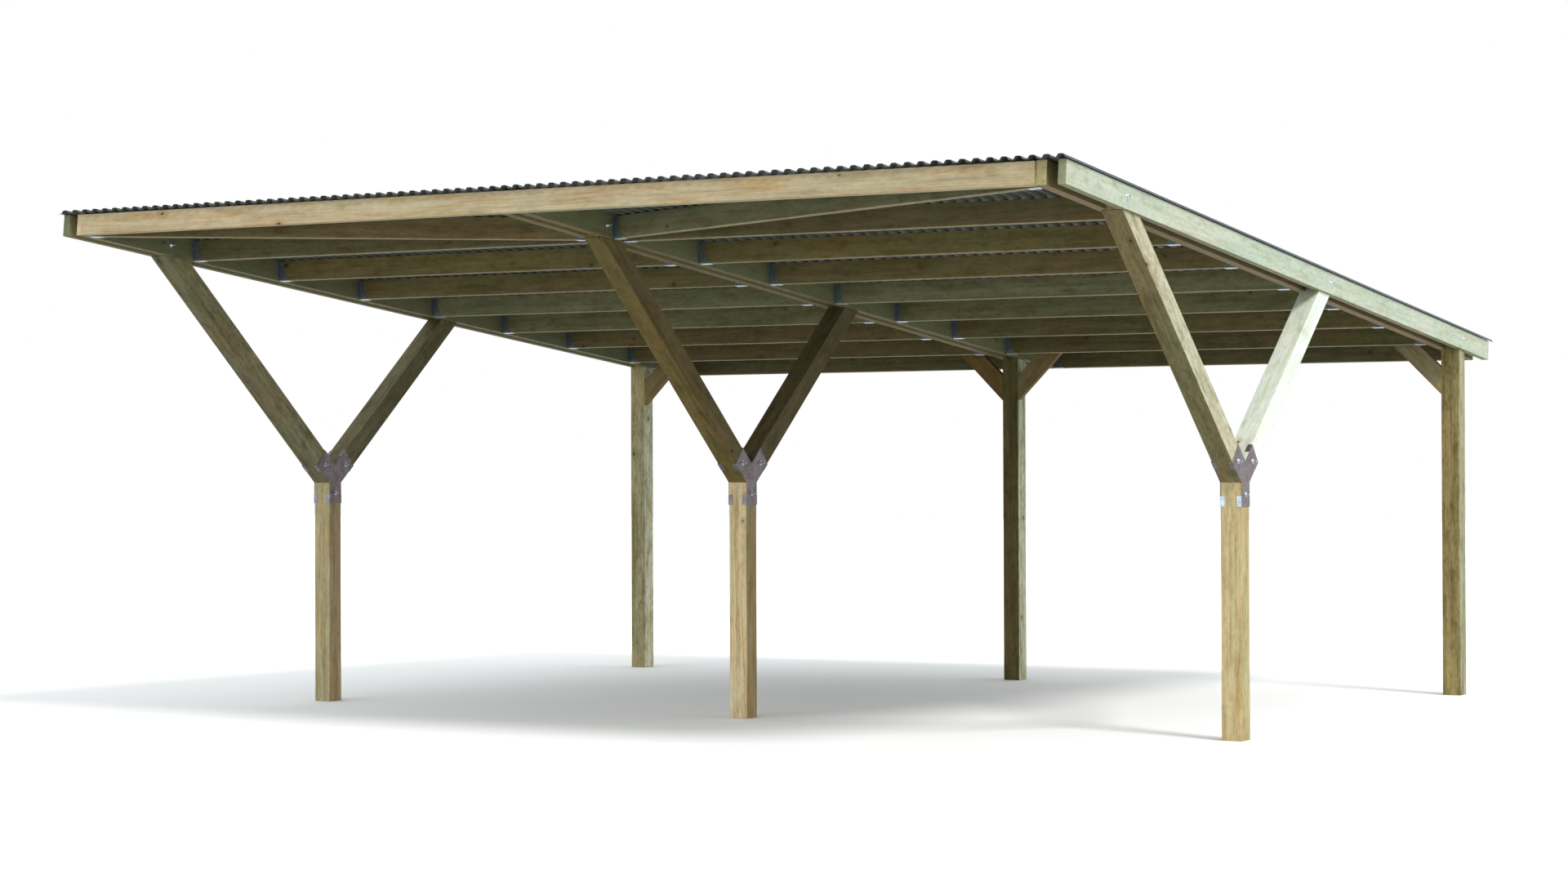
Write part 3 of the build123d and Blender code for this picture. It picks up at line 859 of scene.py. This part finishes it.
def hanger_sheets(face, y, hand, skew, flanges):
    """Pieces of one hanger: outline, thickness, origin, axes, its share of painted light and where its holes
    start.
    """
    half = BOARD / 2 * math.hypot(1, skew)
    edge = half + HANGER * math.hypot(1, skew)
    far = face + hand * HANGER_LEG
    shift = skew * HANGER_LEG
    plate = ((face, y - edge), (far, y - edge + shift), (far, y + edge + shift), (face, y + edge))
    # painted light: the bottom plate takes the lit shade in full, the legs and flanges none
    yield plate, HANGER, ROOF_ORIGIN - SQUARE * HANGER, PLAN_AXES, 1.0, None
    leg = (
        (0, -HANGER), (HANGER_LEG, -HANGER), (HANGER_LEG, 0), (HANGER_LEG_TOP, HANGER_SLANT),
        (HANGER_LEG_TOP, HANGER_HEIGHT), (0, HANGER_HEIGHT),
    )
    axes = (ACROSS * hand + DOWN * skew, SQUARE, -DOWN * hand)
    for side in (-1, 1):
        start = y + (side * half if side * hand < 0 else side * edge)
        yield leg, edge - half, ROOF_ORIGIN + ACROSS * face + DOWN * start, axes, 0.0, HOLE_START
        if side in flanges:
            root, outer = y + side * (half + edge) / 2, y + side * edge
            corner = (outer + side * HOLE_START[0], HOLE_START[1])
            tip = outer + side * HANGER_FLANGE
            flange = (
                (root, -HANGER), (outer, -HANGER), (tip, FLANGE_SLANT), (tip, HANGER_HEIGHT),
                (root, HANGER_HEIGHT),
            )
            low = face if hand > 0 else face - HANGER
            yield flange, HANGER, ROOF_ORIGIN + ACROSS * low, BEAM_AXES, 0.0, corner


def make_hangers():
    """Joist hangers: a bottom plate, two perforated legs and the flanges nailed to the beam."""
    heads, head_frames = [], []
    for name in FRAME_X:
        solids, lit_shares, sheets = [], [], []
        for face, face_x in INNER_FACE.items():
            if face.split("_")[0] != name:
                continue
            hand = FACING[face]
            low, high = BAYS[1 if "right" in face else 0]
            skew = (BRACE_REACH - BRACE_START) / (high - low)
            brace = (BRACE_START, skew, (1,)) if face in ("left", "right") else (BRACE_REACH, -skew, (-1,))
            places = [(y, 0.0, (-1, 1)) for y in ROWS + BOARD / 2]
            places += [(BEAM_LENGTH - BOARD / 2, 0.0, (-1,)), brace]
            for y, lean, flanges in places:
                for *solid, bright, corner in hanger_sheets(face_x, y, hand, lean, flanges):
                    solids.append((*solid, STEEL_EASE))
                    lit_shares.append(bright)
                    sheets.append(corner)
                for side in flanges:
                    down = y + side * (BOARD / 2 + HANGER + NAIL_REACH)
                    foot = ROOF_ORIGIN + ACROSS * (face_x + hand * HANGER) + DOWN * down
                    heads += [foot + SQUARE * height for height in NAIL_HEIGHTS]
                    head_frames += [axis_frame(ACROSS * hand)] * len(NAIL_HEIGHTS)
        steel_piece(f"joist_hangers_{name}", solids, lit_shares, sheets, HANGER_STEEL)
    points, faces = scattered(lathe(NAIL_HEAD, 8), heads, head_frames)
    new_piece("hanger_nails", points, faces, BOLT_ZINC)


def bolt_template(size):
    """A washer, a chamfered hexagon head and the shank's end, all turned, the head in six sides."""
    return joined([lathe(size * np.array(profile), sides) for profile, sides in BOLT_PARTS])


def make_bolts():
    """Three bolts on each side of a Y bracket, and one through each joint of the twin beams."""
    bracket, beam = ([], []), ([], [])
    for name, x in FRAME_X.items():
        y = FRONT_POST_Y[name]
        for hand in (-1, 1):
            spots = [np.array((y + POST / 2, FRONT_POST_HEIGHT - STEM_BOLT))]
            joints = []
            for side in (-1, 1):
                foot, _, _, along, across = arm_lines(y, side)
                spots.append(foot + across * ARM_BOLT[0] + along * ARM_BOLT[1])
                joints.append(meet_slope(foot + across * DEPTH / 2, along, JOINT_HEIGHT))
            joints.append(beam_line(REAR_POST_Y + POST / 2, JOINT_HEIGHT))
            outer = OUTER_FACE if (name, hand) in (("left", -1), ("right", 1)) else BEAM_FACE
            for (places, frames), reach, ends in ((bracket, POST / 2 + PLATE, spots), (beam, outer, joints)):
                places += [(x + hand * reach, *end) for end in ends]
                frames += [axis_frame((hand, 0, 0))] * len(ends)
    # painted highlight: each set of bolts takes the lit zinc shade as far as its share says
    for name, size, lit_share, (places, frames) in (
        ("bracket_bolts", BRACKET_BOLT_SIZE, 0.5, bracket), ("beam_bolts", BEAM_BOLT_SIZE, 0.8, beam),
    ):
        points, faces = scattered(bolt_template(size), places, frames)
        lit_shares = {"lit_share": ("FLOAT", np.full(len(points), lit_share))}
        new_piece(name, points, faces, BOLT_ZINC, attributes=lit_shares)


# roof


def sheet_line(first, starts_roof, ends_roof):
    """Underside of a sheet across the slope, its first crest raised a sheet's thickness where it laps."""
    flat, foot = CREST_TOP / 2, CREST_TOP / 2 + CREST_WEB
    lap = 0 if starts_roof else SHEET
    line = [(first - flat, CREST_HEIGHT + lap), (first + flat, CREST_HEIGHT + lap), (first + foot, 0)]
    if starts_roof:
        line = [(-ROOF_HALF, 0), (first - foot, 0)] + line
    crests = first + CREST_PITCH * np.arange(1, PITCHES + 1)
    turns = np.array(((-foot, 0), (-flat, CREST_HEIGHT), (flat, CREST_HEIGHT), (foot, 0)))
    line = np.concatenate((line, (turns[None] + np.stack((crests, crests * 0), 1)[:, None]).reshape(-1, 2)))
    if ends_roof:
        return np.concatenate((line, ((ROOF_HALF, 0),)))
    return line[:-1]


def rounded_line(line):
    """The line with each inner corner drawn as a curve between two points near it.

    Each lies the fold's radius away from the corner, or a share of a short side.
    """
    side = np.diff(line, axis=0)
    reach = unit(side) * np.minimum(FOLD_RADIUS, np.linalg.norm(side, axis=1) * FOLD_SHARE)[:, None]
    corner = line[1:-1]
    start, end = corner - reach[:-1], corner + reach[1:]
    share = np.linspace(0, 1, FOLD_STEPS)[None, :, None]
    away = 1 - share
    curve = start[:, None] * away ** 2 + 2 * corner[:, None] * share * away + end[:, None] * share ** 2
    return np.concatenate((line[:1], curve.reshape(-1, 2), line[-1:]))


def make_roof():
    """Ribbed sheets: a rounded profile carried down the slope, with a second surface a thickness above."""
    for number in range(SHEETS):
        first = CREST_SHIFT + CREST_PITCH * PITCHES * (number - SHEETS / 2)
        line = rounded_line(sheet_line(first, number == 0, number == SHEETS - 1))
        ahead = unit(np.gradient(line, axis=0))
        normal = np.stack((-ahead[:, 1], ahead[:, 0]), 1)
        stations = np.linspace(ROOF_FRONT, ROOF_REAR, ROOF_STATIONS)
        count = len(line)
        section = np.concatenate((line, (line + normal * SHEET)[::-1]))
        turned = np.concatenate((-normal, normal[::-1]))
        points = (
            ROOF_ORIGIN + ACROSS * section[None, :, :1] + SQUARE * (section[None, :, 1:] + DEPTH)
            + DOWN * stations[:, None, None]
        )
        normals = np.broadcast_to(ACROSS * turned[:, :1] + SQUARE * turned[:, 1:], points.shape)
        place = np.stack(np.broadcast_arrays(section[None, :, 0], stations[:, None], float(number)), -1)
        under = np.broadcast_to(np.repeat((1.0, 0.0), count), points.shape[:2])
        index = np.arange(points.shape[0] * 2 * count).reshape(points.shape[0], 2 * count)
        following = np.roll(index, -1, axis=1)
        quads = np.stack((index[:-1], index[1:], following[1:], following[:-1]), -1).reshape(-1, 4)
        faces = [tuple(quad) for quad in quads.tolist()]
        pairs = np.arange(count - 1)
        for end, flip in ((index[0], 1), (index[-1], -1)):
            above = 2 * count - 1 - pairs
            cap = np.stack((end[pairs], end[pairs + 1], end[above - 1], end[above]), 1)
            faces += [tuple(quad[::flip]) for quad in cap.tolist()]
        attributes = {"roof": ("FLOAT_VECTOR", place), "under": ("FLOAT", under)}
        node = f"roof_sheet_{number + 1}"
        points, normals = points.reshape(-1, 3), normals.reshape(-1, 3)
        new_piece(f"{node}_steel", points, faces, ROOF_STEEL, (node,), normals, attributes)


def make_roof_screws():
    """Hexagon screws with washers in every third pan, over each row of boards and the fascia."""
    pans = CREST_SHIFT + CREST_PITCH * (np.arange(1, SHEETS * PITCHES, 3) + 0.5 - SHEETS * PITCHES / 2)
    rows = np.concatenate(((FIRST_SCREW,), ROWS + BOARD / 2, (BEAM_LENGTH - BOARD / 2,)))
    across, down = np.meshgrid(pans, rows)
    spots = ROOF_ORIGIN + ACROSS * across.reshape(-1, 1) + DOWN * down.reshape(-1, 1)
    spots += SQUARE * (DEPTH + SHEET)
    frames = np.broadcast_to(axis_frame(SQUARE, ACROSS), (len(spots), 3, 3))
    screw = joined((lathe(SCREW_WASHER, 10), lathe(SCREW_HEAD, 6)))
    points, faces = scattered(screw, spots, frames)
    new_piece("roof_screws", points, faces, SCREW_STEEL)


make_posts()
make_arms()
make_beams()
make_boards()
make_knees()
make_brackets()
make_hangers()
make_bolts()
make_roof()
make_roof_screws()

# floor, light and camera

FLOOR_REACH = 60.0
# lamps: strength, softness and height in degrees, and degrees from the front to the right
SUNS = {"sun": (2.0, 14, 46, 66), "side_fill": (0.8, 60, 14, 105), "front_fill": (0.9, 50, 18, -5)}
# the photograph's camera: its place, its turns about Z, X and its own axis in degrees, and its lens in pixels
CAMERA_PLACE = (9.5939, -13.8390 + FRONT_Y, 1.5240)
CAMERA_TURNS = ((29.877, "Z"), (90.422, "X"), (-0.209, "Z"))
LENS_PIXELS = 3847.5
PHOTO_WIDTH = 1920
SENSOR = 36.0


def seen_directly(tree):
    """Whether the camera sees it, itself or through glass or in a mirror."""
    path = add(tree, "LightPath").outputs
    seen = maths(tree, "MAXIMUM", path["Is Camera Ray"], path["Is Transmission Ray"])
    return maths(tree, "MAXIMUM", seen, path["Is Glossy Ray"])


def make_floor():
    """A wide pale floor that looks white to the camera and gives little light back to the underside."""
    material, tree, surface = new_material("floor_pale")
    color = blend(tree, seen_directly(tree), (0.44, 0.45, 0.40, 1.0), (0.92, 0.92, 0.92, 1.0))
    feed(tree, surface, {"Base Color": color, "Roughness": 0.95, "Specular IOR Level": 0.0})
    mesh = bpy.data.meshes.new("floor")
    corners = np.array(((-1, -1, 0), (1, -1, 0), (1, 1, 0), (-1, 1, 0))) * FLOOR_REACH
    mesh.from_pydata(corners.tolist(), [], [(0, 1, 2, 3)])
    mesh.materials.append(material)
    floor = new_object("floor", mesh)


def make_world():
    """A soft sky that is white behind the object."""
    world = bpy.data.worlds.new("sky")
    bpy.context.scene.world = world
    world.use_nodes = True
    tree = world.node_tree
    tree.nodes.clear()
    soft = add(tree, "Background", {"Color": (0.94, 0.98, 1.0, 1.0), "Strength": 1.0})
    white = add(tree, "Background", {"Color": (1.0, 1.0, 1.0, 1.0), "Strength": 1.0})
    seen = seen_directly(tree)
    mixed = add(tree, "MixShader", {0: seen, 1: soft.outputs[0], 2: white.outputs[0]})
    add(tree, "OutputWorld", {"Surface": mixed.outputs[0]})


def make_sun(name, energy, soft, height, turn):
    lamp = bpy.data.lights.new(name, "SUN")
    lamp.energy = energy
    lamp.angle = math.radians(soft)
    lamp.color = (1.0, 0.975, 0.93)
    sun = new_object(name, lamp)
    height, turn = math.radians(height), math.radians(turn)
    level = math.cos(height)
    source = np.array((level * math.sin(turn), -level * math.cos(turn), math.sin(height)))
    sun.matrix_world = Matrix(axis_frame(source).T.tolist()).to_4x4()


def make_camera():
    camera = bpy.data.cameras.new("camera")
    camera.sensor_width = SENSOR
    camera.lens = LENS_PIXELS / PHOTO_WIDTH * SENSOR
    camera.clip_end = 200.0
    holder = new_object("camera", camera)
    turn, tilt, roll = (Matrix.Rotation(math.radians(angle), 4, axis) for angle, axis in CAMERA_TURNS)
    holder.matrix_world = Matrix.Translation(CAMERA_PLACE) @ turn @ tilt @ roll
    bpy.context.scene.camera = holder


make_floor()
make_world()
for title, settings in SUNS.items():
    make_sun(title, *settings)
make_camera()
bpy.context.scene.view_settings.view_transform = "Standard"
